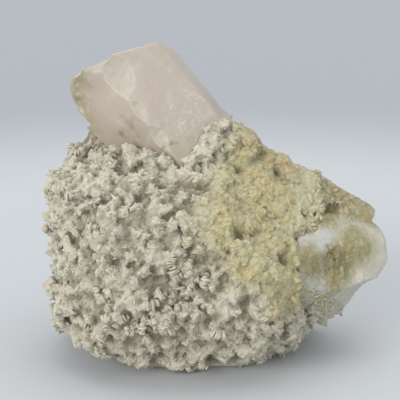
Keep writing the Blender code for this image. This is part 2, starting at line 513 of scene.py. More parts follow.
@dataclass
class Neighbour:
    """A translucent piece that the crust grows up to and not into."""

    node: str
    margin: float

    def __post_init__(self) -> None:
        """Builds the search tree of the node's surface."""
        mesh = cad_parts[self.node].data
        mesh.calc_loop_triangles()
        corners = [vertex.co for vertex in mesh.vertices]
        faces = [tuple(triangle.vertices) for triangle in mesh.loop_triangles]
        self.tree = BVHTree.FromPolygons(corners, faces)

    def near(self, points: Points, reach: float) -> Points:
        """Which points lie in the piece's box or close to it.

        Args:
            points: Places in metres.
            reach: The distance that counts as close, in metres.

        Returns:
            One truth value for each point.
        """
        low, high = (np.array(corner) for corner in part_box(self.node))
        return np.all((points > low - reach) & (points < high + reach), axis=1)

    def depth(self, point: Points) -> float:
        """How deep the point lies inside the piece; less than 0 outside it.

        Args:
            point: A place in metres.

        Returns:
            A distance in metres.
        """
        spot, normal, _, _ = self.tree.find_nearest(Vector(point))
        return float(-(Vector(point) - spot).dot(normal))

    def close(self, points: Points, reach: float) -> Points:
        """How close each point is to the piece.

        Args:
            points: Places in metres.
            reach: The distance that counts as far, in metres.

        Returns:
            Values from 1 at the piece and inside it to 0 at the reach.
        """
        share = np.zeros(len(points))
        for index in np.flatnonzero(self.near(points, reach)):
            share[index] = 1.0 + self.depth(points[index]) / reach
        return np.clip(share, 0.0, 1.0)

    def kept_out(self, points: Points, gap: float) -> Points:
        """The points, with those inside the piece or close to it set at a gap from it.

        Args:
            points: Places in metres.
            gap: How far each stays outside, in metres.

        Returns:
            An array of the same shape.
        """
        moved = points.copy()
        for index in np.flatnonzero(self.near(points, gap)):
            point = Vector(points[index])
            spot, normal, _, _ = self.tree.find_nearest(point)
            if (point - spot).dot(normal) < gap:
                moved[index] = spot + normal * gap
        return moved


@dataclass
class MatrixGround:
    """The ground of the matrix, which shows between the blades and on the slope."""

    zone: Zone
    neighbours: tuple[Neighbour, ...]
    core_voxel: float = 1.3 * MM
    core_sunk: float = 1.8 * MM
    core_rounds: int = 8
    core_margin: float = 2.5 * MM
    voxel: float = 0.83 * MM
    lump_spacing: tuple[float, float] = (3.4 * MM, 8.0 * MM)
    lump_share: float = 0.595
    lump_proud: float = 0.9 * MM
    lump_jitter: float = 0.8 * MM
    lump_roll: float = 1.7 * MM
    lump_floor: float = 2.5 * MM
    lump_margin: float = 1.2 * MM
    lump_bias: float = 1.3
    low_depth: float = 4 * MM
    edge_way: Place = (0.2, -0.9, 0.4)
    knobs: int = 4
    knob_size: tuple[float, float] = (0.32, 0.56)
    knob_spread: float = 0.9
    knob_reach: float = 0.82
    thin: tuple[float, float] = (0.5, 0.9)
    broad: float = 1.1
    long: tuple[float, float] = (0.8, 1.3)
    block_shapes: int = 12
    rest_band: float = 3.0 * MM
    gap: float = 0.15 * MM
    seed: int = 3
    ledge_width: float = 4.6 * MM
    knob_width: float = 2.9 * MM
    chip_width: float = 1.9 * MM
    hill_width: float = 9 * MM
    pit_width: float = 3.2 * MM
    # How high or deep each is, in millimetres.
    ledge_height: float = 1.1
    chip_height: float = 0.5
    hill_height: float = 0.9
    pit_depth: float = 1.4
    slope_proud: float = 0.4
    knob_height: float = 0.5
    lump_chips: float = 0.4
    # How deep below the skin, and how cupped, a point is where the painted shade of the crevices
    # starts and ends.
    deep: tuple[float, float] = (0.3 * MM, 2.4 * MM)
    cupped: tuple[float, float] = (0.08 * MM, 0.5 * MM)
    # Lumps that have grown over the crystal's foot.
    foot_lumps: Spots = (
        (6.0, -1.0, 81.0, 2.4), (2.6, -2.8, 79.6, 2.7), (0.2, -5.0, 76.6, 2.8),
        (-2.0, -7.4, 73.4, 2.7), (3.6, -4.6, 76.4, 3.0), (0.6, -8.0, 72.6, 3.0),
        (-4.4, -10.0, 70.0, 2.4),
    )
    # Lumps that have grown over the edge of the quartz.
    edge_lumps: Spots = (
        (36.6, 7.0, 61.2, 2.3), (36.9, 4.0, 59.2, 2.3), (37.2, 0.6, 56.9, 2.4),
        (37.4, -3.0, 54.4, 2.3), (37.2, -6.4, 51.8, 2.5), (36.4, -9.8, 49.4, 2.1),
        (34.8, -13.0, 47.4, 1.9),
    )
    # Where the lumps lie low, behind the crystal and at its left.
    low_spots: Spots = (
        (7.0, 23.5, 80.5, 10.0), (9.0, 27.0, 77.0, 8.0), (2.0, 31.0, 83.0, 10.0),
        (-42.5, 20.0, 74.5, 6.0),
    )
    pits: Spots = (
        (17.8, -0.3, 71.0, 2.0), (15.1, -3.7, 68.4, 1.6), (10.6, -7.8, 66.0, 1.8),
        (24.3, -1.6, 64.5, 1.5), (11.1, -31.7, 52.0, 2.2), (25.7, -30.7, 43.0, 2.4),
        (30.9, -20.5, 48.0, 1.6),
    )

    def core(self) -> Form:
        """Sinks the matrix's node where lumps will cover it, and keeps its skin.

        Returns:
            The sunk form.
        """
        form = Form(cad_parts["cleavelandite_matrix"].data, self.core_voxel, self.core_rounds)
        rest = ramp(form.points[:, 2], 0, self.rest_band)
        kept = np.maximum(self.zone.stained(form.points), 1.0 - rest)
        for neighbour in self.neighbours:
            kept = np.maximum(kept, neighbour.close(form.points, self.core_margin))
        faces = [tuple(face.vertices) for face in form.mesh.polygons]
        self.skin = form.points.copy(), form.normals.copy()
        self.skin_tree = BVHTree.FromPolygons(form.points.tolist(), faces)
        form.points = form.points - form.normals * (1.0 - kept)[:, None] * self.core_sunk
        form.facing()
        return form

    def below(self, points: Points) -> Points:
        """How far each point lies below the skin of the matrix.

        Args:
            points: Places in metres.

        Returns:
            One distance for each point, in metres.
        """
        found = [self.skin_tree.find_nearest(Vector(point))[:2] for point in points]
        spots = np.array([spot for spot, _ in found])
        normals = np.array([normal for _, normal in found])
        return np.sum((spots - points) * normals, axis=1)

    def lumps(self, rng: np.random.Generator) -> Mesh:
        """Angular knobby lumps all over the skin of the matrix, but for the slope.

        Args:
            rng: The source of random values.

        Returns:
            One mesh with all of them.
        """
        skin, normals = self.skin
        free = (self.zone.stained(skin) < 0.5) & (skin[:, 2] > self.lump_floor)
        for neighbour in self.neighbours:
            free &= neighbour.close(skin, self.lump_margin) < 0.99
        among = np.flatnonzero(free)
        low, high = self.lump_spacing
        spacing = low + (high - low) * rng.random(len(among)) ** self.lump_bias
        chosen = spread(skin[among], spacing, rng)
        shapes = [block(rng) for _ in range(self.block_shapes)]
        radius = self.lump_share * spacing[chosen]
        roots = skin[among[chosen]]
        outward = normals[among[chosen]]
        swell = self.lump_roll * self.zone.grain.fractal(roots, self.hill_width, 2)
        proud = self.lump_proud + rng.normal(0, self.lump_jitter, len(chosen)) + swell - radius
        proud = proud - self.low_depth * patches(roots, self.low_spots)
        lumps = list(zip(roots + outward * proud[:, None], outward, radius))
        front = np.array(self.edge_way)
        more = self.foot_lumps + self.edge_lumps
        lumps += [(np.array(spot) * MM, front, size * MM) for *spot, size in more]
        corners, faces, total = [], [], 0
        for middle, up, size in lumps:
            ways = unit(up + self.knob_spread * unit(rng.normal(size=(self.knobs, 3))))
            parts = [(middle, size)]
            for way, share in zip(ways, rng.uniform(*self.knob_size, self.knobs)):
                parts.append((middle + self.knob_reach * size * way, size * share))
            for spot, wide in parts:
                shape, sides = shapes[rng.integers(len(shapes))]
                axes = np.linalg.qr(rng.normal(size=(3, 3)))[0]
                stretch = (rng.uniform(*self.thin), self.broad, rng.uniform(*self.long))
                corners.append(spot + (shape * (wide * np.array(stretch))) @ axes)
                faces.append(sides + total)
                total += len(shape)
        mesh = bpy.data.meshes.new("lumps")
        mesh.from_pydata(np.concatenate(corners).tolist(), [], np.concatenate(faces).tolist())
        return mesh

    def grown(self) -> Form:
        """Joins the core and the lumps.

        Returns:
            Both, grown together in one surface.
        """
        core = self.core()
        joined = bmesh.new()
        joined.from_mesh(core.mesh)
        joined.from_mesh(self.lumps(np.random.default_rng(self.seed)))
        both = bpy.data.meshes.new("both")
        joined.to_mesh(both)
        joined.free()
        return Form(both, self.voxel, 1)

    def build(self, finish: Material) -> Object:
        """Makes the ground, in place of the matrix's node.

        Args:
            finish: The ground's material.

        Returns:
            The piece.
        """
        form = self.grown()
        self.form = form
        self.start = form.points.copy()
        stained = self.zone.stained(form.points)
        grain = self.zone.grain
        rest = ramp(form.points[:, 2], 0.4 * MM, self.rest_band)
        ledges, _ = grain.facets(form.points, self.ledge_width)
        knobs, _ = grain.facets(form.points + 0.3, self.knob_width)
        chips, crack = grain.facets(form.points + 0.1, self.chip_width)
        hills = grain.fractal(form.points, self.hill_width, 5)
        pits = ramp(grain.fractal(form.points + 0.3, self.pit_width, 2), 0.42, 0.70)
        pits = np.maximum(pits, 1.6 * patches(form.points, self.pits))
        right = self.zone.right_end(form.points)
        on_slope = self.ledge_height * ledges + self.chip_height * chips
        on_slope = on_slope * (1.0 - 0.4 * right)
        on_slope = on_slope + self.hill_height * hills - self.pit_depth * pits + self.slope_proud
        on_lumps = self.knob_height * knobs + self.lump_chips * chips
        height = (stained * on_slope + (1.0 - stained) * on_lumps) * rest * MM
        form.points = form.points + form.normals * height[:, None]
        form.points[:, 2] = np.maximum(form.points[:, 2], 0.0)
        for neighbour in self.neighbours:
            form.points = neighbour.kept_out(form.points, self.gap)
        # Painted shade: the ground is darkened below its skin and where it is cupped, and on the
        # slope in its pits and along its cracks, less at the slope's right end.
        even = form.points.copy()
        for _ in range(6):
            even = form.eased(even, 0.6)
        cupped = form.eased(np.sum((even - form.points) * form.facing(), axis=1), 0.6)
        deep = ramp(self.below(form.points), *self.deep)
        deep = np.maximum(deep, 0.8 * ramp(cupped, *self.cupped)) * (1.0 - stained)
        slope_hollow = np.maximum(0.9 * pits, 0.35 * (1 - ramp(crack, 0.02, 0.16)))
        slope_hollow = slope_hollow * (1.0 - 0.5 * right)
        self.hollow = np.maximum(deep * rest, stained * slope_hollow)
        values = {
            "stain": self.zone.tinted(self.start),
            "rust": self.zone.rust(self.start),
            "painted_crevice_shade": np.clip(self.hollow, 0, 1),
            "tone": np.clip(0.5 + 0.5 * chips + 0.4 * stained * right, 0, 1),
        }
        piece = form.finish("matrix_ground", values, False)
        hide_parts("cleavelandite_matrix")
        add_piece(piece, finish)
        return piece


class Side(Enum):
    """The sides of the matrix, with the middle of each in degrees round from +X."""

    FRONT = 270
    LEFT = 180
    BACK = 90
    RIGHT = 0


@dataclass
class Stack:
    """A kind of stack of thin plates, which stand side by side like a book's pages."""

    ARC = 1.75
    ARC_JITTER = 0.16
    ROUNDED = 0.25
    FOOT_WIDTH = 0.6
    FOOT_DEPTH = 1.4
    SHIFT = 0.12
    TURN = 0.07
    TWIST = 0.08
    BEVEL = (0.86, 1.0)
    THICKNESS = (0.8, 1.2)

    plates: int
    rim: int
    radius: tuple[float, float]
    pitch: float
    filled: tuple[float, float]
    fan: tuple[float, float]
    uneven: tuple[float, float]
    ragged: float
    lean: tuple[float, float]
    rise: float
    shade: float

    def grow(
        self, roots: Points, normals: Points, size: Points, rng: np.random.Generator
    ) -> dict[str, Points]:
        """Shapes one stack at each root.

        Args:
            roots: Where the stacks stand.
            normals: Which way they grow.
            size: How large each is, from 0 to 1.
            rng: The source of random values.

        Returns:
            The corners of all plates, with the axes plate, side, corner and XYZ, and
            for each plate its stack's number, tone, shade, root, reach and way up.
        """
        count = len(roots)
        shape = (count, self.plates)
        radius = (self.radius[0] + (self.radius[1] - self.radius[0]) * size)[:, None]
        across = unit(np.cross(normals, unit(rng.normal(size=(count, 3)))))
        tilt = np.tan(rng.uniform(*self.lean, count))[:, None]
        grows = unit(normals + tilt * across)
        across = unit(across - np.sum(across * grows, axis=1, keepdims=True) * grows)
        pitch = self.pitch * (0.7 + 0.6 * size)[:, None]
        offset = (np.arange(self.plates) - (self.plates - 1) / 2)[None, :] * pitch
        offset = offset + rng.normal(0, self.SHIFT, shape) * pitch
        span = 2.0 * offset / (self.plates * pitch)
        reach = radius * rng.uniform(*self.uneven, shape) * (1.0 - self.ROUNDED * span**2)
        turn = rng.uniform(*self.fan, (count, 1)) * span + rng.normal(0, self.TURN, shape)
        cosine, sine = np.cos(turn)[..., None], np.sin(turn)[..., None]
        grow = cosine * grows[:, None] + sine * across[:, None]
        face = cosine * across[:, None] - sine * grows[:, None]
        twist = rng.normal(0, self.TWIST, shape)[..., None]
        face = unit(face + twist * np.cross(face, grow))
        side = unit(np.cross(face, grow))
        base = roots[:, None] + offset[..., None] * across[:, None]
        slid = rng.normal(0, self.SHIFT, shape) * radius
        base = base + slid[..., None] * side + (self.rise * radius)[..., None] * normals[:, None]
        corners = (*shape, self.rim)
        angles = np.linspace(-self.ARC, self.ARC, self.rim)
        angles = angles + rng.normal(0, self.ARC_JITTER, corners)
        length = reach[..., None] * (1 + rng.normal(0, self.ragged, corners))
        foot = np.stack((self.FOOT_WIDTH * reach, -self.FOOT_WIDTH * reach), axis=-1)
        wide = np.concatenate((length * np.sin(angles), foot), axis=-1)
        sunk = -np.abs(foot) * self.FOOT_DEPTH
        high = np.concatenate((length * np.cos(angles), sunk), axis=-1)
        outline = (
            base[:, :, None]
            + wide[..., None] * side[:, :, None]
            + high[..., None] * grow[:, :, None]
        )
        fill = rng.uniform(*self.filled, (count, 1)) * rng.uniform(*self.THICKNESS, shape)
        half = 0.5 * (fill * pitch)[..., None, None] * face[:, :, None]
        middle = np.mean(outline, axis=2, keepdims=True)
        upper, lower = (
            middle + (outline - middle) * rng.uniform(*self.BEVEL, shape)[..., None, None]
            for _ in range(2)
        )
        both = np.stack((lower - half, upper + half), axis=2)
        return {
            "corners": both.reshape(-1, 2, self.rim + 2, 3),
            "stack": np.repeat(np.arange(count), self.plates),
            "tone": np.repeat(rng.random(count), self.plates),
            "shade": np.full(count * self.plates, self.shade),
            "up": np.repeat(grows, self.plates, axis=0),
            "root": base.reshape(-1, 3),
            "reach": reach.reshape(-1),
        }


@dataclass
class Bed:
    """A surface that stacks grow on, with the pieces that they don't grow into."""

    points: Points
    normals: Points
    # How much painted shade lies at each point.
    hollow: Points
    neighbours: tuple[Neighbour, ...] = ()


@dataclass
class Crust:
    """Stacks of plates grown all over the ground of the matrix."""

    ground: MatrixGround
    zone: Zone
    neighbours: tuple[Neighbour, ...]
    quartz: "Quartz"
    books: Stack
    flakes: Stack
    grains: Stack
    book_spacing: float = 3.4 * MM
    flake_spacing: float = 1.35 * MM
    grain_spacing: float = 1.8 * MM
    crust_spacing: float = 1.3 * MM
    seam_spacing: float = 1.0 * MM
    seam_width: float = 2.0 * MM
    rest_band: float = 1.2 * MM
    book_patch: float = 14 * MM
    rise_on_quartz: float = -0.12
    neighbour_reach: float = 4 * MM
    seed: int = 7

    def clear(
        self, plates: dict[str, Points], neighbours: tuple[Neighbour, ...]
    ) -> dict[str, Points]:
        """Leaves out the plates that reach into a neighbour or below the floor.

        Args:
            plates: What Stack.grow returns.
            neighbours: The pieces that they don't grow into.

        Returns:
            The same, with the other plates only.
        """
        middle = plates["root"] + 0.5 * plates["reach"][:, None] * plates["up"]
        tip = plates["root"] + plates["reach"][:, None] * plates["up"]
        keep = plates["corners"][..., 2].min(axis=(1, 2)) > 0.0
        for neighbour in neighbours:
            near = neighbour.near(middle, self.neighbour_reach)
            for index in np.flatnonzero(near & keep):
                spots = (middle[index], tip[index], *plates["corners"][index, 0, ::2])
                depth = max(neighbour.depth(spot) for spot in spots)
                keep[index] = depth < neighbour.margin
        return {key: value[keep] for key, value in plates.items()}

    def mesh(self, name: str, corners: Points) -> Mesh:
        """Makes one mesh of flat plates.

        Args:
            name: The mesh's name.
            corners: The plates' corners, with the axes plate, side, corner and XYZ.

        Returns:
            The mesh.
        """
        count, _, around, _ = corners.shape
        first = np.arange(count)[:, None] * 2 * around
        ring = np.arange(around)
        following = np.roll(ring, -1)
        caps = np.concatenate((first + ring[::-1], first + around + ring), axis=1)
        sides = np.stack((ring, following, following + around, ring + around), axis=1)
        sides = (first[:, :, None] + sides[None]).reshape(count, -1)
        loops = np.concatenate((caps, sides), axis=1).ravel()
        sizes = np.tile([around, around] + [4] * around, count)
        starts = np.concatenate(([0], np.cumsum(sizes)[:-1]))
        mesh = bpy.data.meshes.new(name)
        mesh.vertices.add(count * 2 * around)
        mesh.vertices.foreach_set("co", corners.astype(np.float32).ravel())
        mesh.loops.add(len(loops))
        mesh.loops.foreach_set("vertex_index", loops.astype(np.int32))
        mesh.polygons.add(len(sizes))
        mesh.polygons.foreach_set("loop_start", starts.astype(np.int32))
        mesh.update(calc_edges=True)
        return mesh

    def piece(self, name: str, plates: dict[str, Points]) -> Object:
        """Joins plates in one piece.

        Args:
            name: The piece's name.
            plates: What grown returns.

        Returns:
            The new object.
        """
        corners = plates["corners"]
        centre = np.mean(corners, axis=(1, 2))
        given = {
            **{key: plates[key] for key in ("up", "root", "reach", "hollow", "shade", "tone")},
            "stain": self.zone.tinted(centre),
            "rust": self.zone.rust(centre),
        }
        around = 2 * corners.shape[2]
        each = {key: np.repeat(value, around, axis=0) for key, value in given.items()}
        # Painted shade: each plate darkens towards its foot by its stack's shade, added to the
        # painted shade of the bed where it stands.
        high = np.sum((corners.reshape(-1, 3) - each["root"]) * each["up"], axis=1)
        lit = ramp(high / each["reach"], -0.35, 0.5)
        hollow = each["shade"] - each["shade"] * lit + each["hollow"]
        values = {key: each[key] for key in ("stain", "rust", "tone")}
        mesh = self.mesh(name, corners)
        keep_values(mesh, {**values, "painted_crevice_shade": np.clip(hollow, 0, 1)})
        return placed(name, mesh)

    def build(self, finish: Material) -> list[Object]:
        """Grows the blades side by side of the matrix, and the grains of the slope.

        Args:
            finish: The material of the plates.

        Returns:
            The pieces.
        """
        form = self.ground.form
        points, normals = form.points, unit(form.eased(form.facing(), 0.8))
        stained = self.zone.stained(self.ground.start)
        hollow = self.ground.hollow
        bed = Bed(points, normals, hollow, self.neighbours)
        open_part = (points[:, 2] > self.rest_band) & (hollow < 0.45)
        open_part &= patches(points, self.ground.low_spots) < 0.5
        bladed = open_part & (stained < 0.55)
        massive = open_part & (stained >= 0.35)
        in_books = self.zone.grain.fractal(points + 0.2, self.book_patch, 2) > 0.30
        books = self.grown(self.books, bed, bladed & in_books, self.book_spacing)
        flakes = self.grown(self.flakes, bed, bladed, self.flake_spacing)
        grains = self.grown(self.grains, bed, massive, self.grain_spacing)
        pieces = self.by_side("books", books) + self.by_side("flakes", flakes)
        pieces.append(self.piece("slope_grains", grains))
        # The grains and flakes from here on grow over the quartz.
        bed = replace(bed, neighbours=())
        _, quartz = self.neighbours
        seam = (points[:, 2] > self.rest_band) & (quartz.close(points, self.seam_width) > 0.2)
        along = self.grown(self.grains, bed, seam & (stained > 0.3), self.seam_spacing)
        pieces.append(self.piece("grains_on_seam", along))
        over = self.quartz.form
        bed = Bed(over.points, over.normals, np.zeros(len(over.points)))
        upper, lower = self.quartz.crusted(over.points, over.normals)
        crust = self.grown(self.grains, bed, upper, self.crust_spacing)
        pieces.append(self.piece("grains_on_quartz", crust))
        proud = replace(self.flakes, rise=self.rise_on_quartz)
        crust = self.grown(proud, bed, lower, self.flake_spacing)
        pieces.append(self.piece("flakes_on_quartz", crust))
        for made in pieces:
            add_piece(made, finish)
        return pieces

    def grown(self, kind: Stack, bed: Bed, part: Points, spacing: float) -> dict[str, Points]:
        """Grows stacks of one kind at spread points of a bed.

        Args:
            kind: The kind of stack.
            bed: What they grow on.
            part: Which of the points may carry one.
            spacing: The distance that the stacks keep, in metres.

        Returns:
            What Stack.grow returns, without plates that reach where they can't, and
            with the painted shade of the bed where each plate stands.
        """
        rng = np.random.default_rng(self.seed + kind.plates * 10 + kind.rim)
        among = np.flatnonzero(part)
        size = rng.random(len(among))
        chosen = spread(bed.points[among], spacing * (0.75 + 0.5 * size), rng)
        roots = among[chosen]
        plates = kind.grow(bed.points[roots], bed.normals[roots], size[chosen], rng)
        plates["hollow"] = bed.hollow[roots][plates["stack"]]
        return self.clear(plates, bed.neighbours)

    def by_side(self, name: str, plates: dict[str, Points]) -> list[Object]:
        """Joins the plates of each side of the matrix in a mesh of its own.

        Args:
            name: The first word of the pieces' names.
            plates: What grown returns.

        Returns:
            One piece for each side.
        """
        spots = plates["root"] - self.zone.MIDDLE
        angle = np.degrees(np.arctan2(spots[:, 1], spots[:, 0]))
        gap = [np.abs((angle - side.value + 180) % 360 - 180) for side in Side]
        nearest = np.argmin(gap, axis=0)
        pieces = []
        for number, side in enumerate(Side):
            part = {key: value[nearest == number] for key, value in plates.items()}
            pieces.append(self.piece(name + "_" + side.name.lower(), part))
        return pieces


@dataclass
class Morganite:
    """The pink crystal: a stubby six-sided prism, striated, etched and chipped."""

    grain: Grain
    voxel: float = 0.46 * MM
    middle: Place = (-23.2, 17.3, 86.5)
    axis: Place = (-0.625, 0.231, 0.746)
    side: Place = (0.780, 0.162, 0.604)
    etched_face: float = 286.8
    fine_share: float = 0.4
    step_count: float = 2.5
    # How high or deep each kind of unevenness is, in millimetres.
    striae: float = 0.08
    swell: float = 0.15
    layers: float = 0.09
    etch: float = 0.12
    steps: float = 0.35
    cavern: float = 1.7
    chipped: float = 0.30
    # How wide each kind is.
    striae_width: float = 1.5 * MM
    fine_width: float = 0.7 * MM
    swell_width: float = 11 * MM
    pit_width: float = 1.5 * MM
    layer_width: float = 7.5 * MM
    step_width: float = 9 * MM
    hole_width: float = 4.2 * MM
    break_width: float = 2.4 * MM
    cloud_width: float = 8 * MM
    # Bites out of the edges.
    bites: Spots = (
        (-28.2, -15.4, 103.7, 18.0), (-22.8, -12.9, 88.6, 9.6), (-16.5, -15.2, 79.5, 9.6),
        (-36.5, -3.2, 99.5, 4.2), (-39.0, 3.0, 106.5, 8.0), (-51.5, 6.0, 91.0, 7.2),
        (-9.5, 5.5, 108.2, 4.6), (2.0, 6.0, 93.5, 3.2), (-45.6, 4.6, 95.6, 3.4),
        (-31.5, -8.2, 79.5, 5.4),
    )
    cavern_spots: Spots = (
        (-44.0, 8.0, 94.0, 6.5), (-45.0, 10.0, 86.5, 6.5), (-41.5, 12.5, 79.5, 6.0),
        (-47.0, 18.0, 92.0, 6.0),
    )
    etched_spots: Spots = (
        (-11.1, -1.4, 87.4, 3.0), (-3.4, -0.7, 85.2, 6.0), (-6.8, -3.4, 81.4, 4.0),
        (-1.8, 2.4, 90.4, 6.0), (-5.2, 10.0, 98.0, 4.0), (-32.4, -0.3, 95.3, 2.5),
        (-40.8, 4.6, 98.2, 2.0),
    )
    foot_spots: Spots = (
        (-38.0, 10.0, 77.0, 8.0), (-27.0, -1.0, 76.0, 8.0), (-11.0, -8.0, 71.5, 9.0),
        (4.0, 6.0, 79.0, 7.0),
    )

    def drawn(self, own: Points, share: float) -> Points:
        """The crystal's own places, pressed along its axis so that forms are drawn out."""
        return own * np.array((1.0, 1.0, share))

    def build(self, finish: Material) -> Object:
        """Makes the crystal, in place of its node.

        Args:
            finish: The crystal's material.

        Returns:
            The piece.
        """
        form = Form(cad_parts["morganite_crystal"].data, self.voxel, 1)
        axis = unit(np.array(self.axis))
        side = unit(np.array(self.side) - axis * np.dot(self.side, axis))
        frame_axes = np.stack((side, np.cross(axis, side), axis), axis=1)
        start = form.points.copy()
        own = (start - np.array(self.middle) * MM) @ frame_axes
        around = math.radians(self.etched_face)
        etched_way = frame_axes @ np.array((math.cos(around), math.sin(around), 0.0))
        etched = ramp(form.normals @ etched_way, 0.80, 0.95)
        prism = 1.0 - ramp(np.abs(form.normals @ axis), 0.25, 0.55)
        top = ramp(form.normals @ axis, 0.45, 0.8)
        grain = self.grain
        striae = grain.fractal(self.drawn(own, 0.06), self.striae_width, 3)
        fine = grain.smooth(self.drawn(own, 0.12) + 0.4, self.fine_width)
        swell = grain.fractal(own + 0.2, self.swell_width, 2)
        pit, _ = grain.facets(self.drawn(own, 0.55), self.pit_width)
        pits = ramp(pit, 0.20, 0.55)
        layer, _ = grain.facets(own + 0.7, self.layer_width)
        hills = grain.fractal(own + 0.9, self.step_width, 3)
        terrace = np.round(self.step_count * hills) / self.step_count
        ragged = patches(start, self.cavern_spots)
        holes = grain.fractal(own + 0.1, self.hole_width, 4)
        height = prism * (self.striae * striae + self.fine_share * self.striae * fine)
        height = height + self.swell * swell + self.layers * layer
        height = height - etched * self.etch * pits
        height = height + top * self.steps * terrace
        height = height - self.cavern * ragged * ramp(holes, -0.35, 0.35)
        form.points = start + form.normals * height[:, None] * MM
        form.points, depth = bitten_off(form.points, self.bites)
        bitten = ramp(depth, -0.15 * MM, 0.25 * MM) * (0.7 + 0.3 * (depth > 0))
        rough, _ = grain.facets(start + 0.5, self.break_width)
        dug = self.chipped * bitten * (0.6 + rough)
        form.points = form.points - form.facing() * dug[:, None] * MM
        foot = patches(start, self.foot_spots)
        cloud = grain.fractal(self.drawn(own, 0.5) + 0.6, self.cloud_width, 4)
        values = {
            "stain": np.clip(0.85 * ragged + 0.45 * foot * ramp(holes, -0.5, 0.5), 0, 1),
            "rust": foot * ramp(-holes, 0.0, 0.5),
            "frost": np.clip(bitten * (0.6 + 0.4 * holes) + 0.4 * etched * pits + 0.2 * top, 0, 1),
            "tone": 0.5 + 0.5 * cloud,
            # The etched share sets where the finish lays its painted glints, small white
            # highlights.
            "etched": 0.7 * patches(start, self.etched_spots) * ramp(cloud, -0.35, 0.25),
        }
        piece = form.finish("morganite", values, True)
        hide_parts("morganite_crystal")
        add_piece(piece, finish)
        return piece


@dataclass
class Quartz:
    """The glassy lobes at the right end, with shell-like breaks and stained hollows."""

    grain: Grain
    voxel: float = 0.50 * MM
    swell: float = 0.40
    swell_width: float = 8 * MM
    ripple: float = 0.07
    ripple_width: float = 1.3
    ripple_reach: float = 11 * MM
    break_height: float = 0.45
    break_width: float = 2.3 * MM
    crack_depth: float = 0.55
    veil_width: float = 5 * MM
    # How far the matrix has grown over the quartz, from its left and below.
    ragged: float = 7 * MM
    ragged_width: float = 7 * MM
    grains_above: float = 50.5 * MM
    grains_lean: float = 0.30
    grains_from: float = 37 * MM
    grains_reach: float = 53 * MM
    flakes_below: float = 42 * MM
    flakes_reach: float = 28 * MM
    flakes_lean: float = 0.8
    flakes_from: float = 41 * MM
    # Where the breaks started, in millimetres: their ripples run round these points.
    starts: tuple[Place, ...] = (
        (31.0, -18.0, 44.0),
        (60.0, -12.0, 30.0),
        (58.0, 10.0, 52.0),
    )
    rust_spots: Spots = (
        (42.0, -17.8, 41.0, 4.0), (45.0, -16.4, 38.0, 4.0), (43.4, 0.4, 51.6, 3.6),
        (47.8, -0.2, 51.4, 3.0),
    )
    stain_spots: Spots = (
        (50.6, -11.2, 42.0, 7.5), (44.6, -16.6, 38.0, 8.0), (41.0, 4.0, 58.0, 13.0),
        (53.0, 5.0, 53.0, 11.0), (38.0, -8.0, 53.0, 9.0), (34.0, -22.0, 40.0, 6.0),
        (43.2, -18.8, 30.5, 3.8), (50.0, 15.0, 40.0, 11.0),
    )
    milk_spots: Spots = (
        (40.5, -13.8, 45.4, 2.9), (36.5, -16.4, 45.0, 3.1), (33.6, -19.0, 44.8, 2.6),
    )
    rough_spots: Spots = (
        (37.5, -23.0, 32.0, 8.0), (42.0, -17.0, 24.0, 7.0), (46.0, 2.0, 56.0, 9.0),
    )
    # Where a break took off more of the quartz.
    bites: Spots = (
        (58.0, -16.0, 12.0, 18.6),
    )

    def build(self, finish: Material) -> Object:
        """Makes the quartz, in place of its node.

        Args:
            finish: The quartz's material.

        Returns:
            The piece.
        """
        form = Form(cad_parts["quartz"].data, self.voxel, 2)
        self.form = form
        start = form.points.copy()
        swell = self.grain.fractal(start, self.swell_width, 3)
        height = self.swell * swell
        for place in self.starts:
            away = np.linalg.norm(start - np.array(place) * MM, axis=1)
            wave = np.sin(2 * math.pi * away / (self.ripple_width * MM) + 2.0 * swell)
            height = height + self.ripple * wave * np.exp(-away / self.ripple_reach)
        rust = patches(start, self.rust_spots)
        stain = patches(start, self.stain_spots)
        veil = self.grain.fractal(start + 0.8, self.veil_width, 4)
        milk = patches(start, self.milk_spots) * ramp(veil, -0.55, 0.15)
        rough, crack = self.grain.facets(start + 0.3, self.break_width)
        broken = patches(start, self.rough_spots)
        dirty = np.clip(rust + 0.6 * stain + 0.8 * broken - milk, 0, 1)
        cracked = self.crack_depth * (1.0 - ramp(crack, 0.0, 0.14))
        height = height + dirty * (self.break_height * rough - cracked)
        form.points = start + form.normals * height[:, None] * MM
        form.points, _ = bitten_off(form.points, self.bites)
        values = {
            "stain": np.clip((2.0 * stain - 1.9 * milk) * (0.9 + 0.4 * veil), 0, 1.2),
            "rust": np.clip(rust - milk, 0, 1) * (0.8 + 0.6 * veil),
            "frost": np.clip(milk + 0.35 * ramp(veil, 0.0, 0.6), 0, 1),
            "tone": 0.5 + 0.5 * veil,
            # The etched share sets where the finish lays its painted glints, small white
            # highlights.
            "etched": np.clip(rust + stain - milk, 0, 1) * 0.6,
        }
        form.normals = form.facing()
        piece = form.finish("quartz_lobes", values, True)
        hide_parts("quartz")
        add_piece(piece, finish)
        return piece

    def crusted(self, points: Points, normals: Points) -> tuple[Points, Points]:
        """Where the matrix has grown over the quartz.

        Args:
            points: Places on the quartz.
            normals: The normal at each.

        Returns:
            A truth value for each point for the slope's grains above, and another for
            the flakes below.
        """
        across, _, up = points.T
        ragged = self.ragged * self.grain.fractal(points + 0.5, self.ragged_width, 3)
        above = up - self.grains_lean * (across - self.grains_from) > self.grains_above
        reached = across + ragged < self.grains_reach
        upper = (normals @ Zone.SLOPE > 0.35) & above & reached
        edge = self.flakes_reach + self.flakes_lean * (self.flakes_from - up)
        lower = (across + 0.6 * ragged < edge) & (up < self.flakes_below)
        return upper, lower


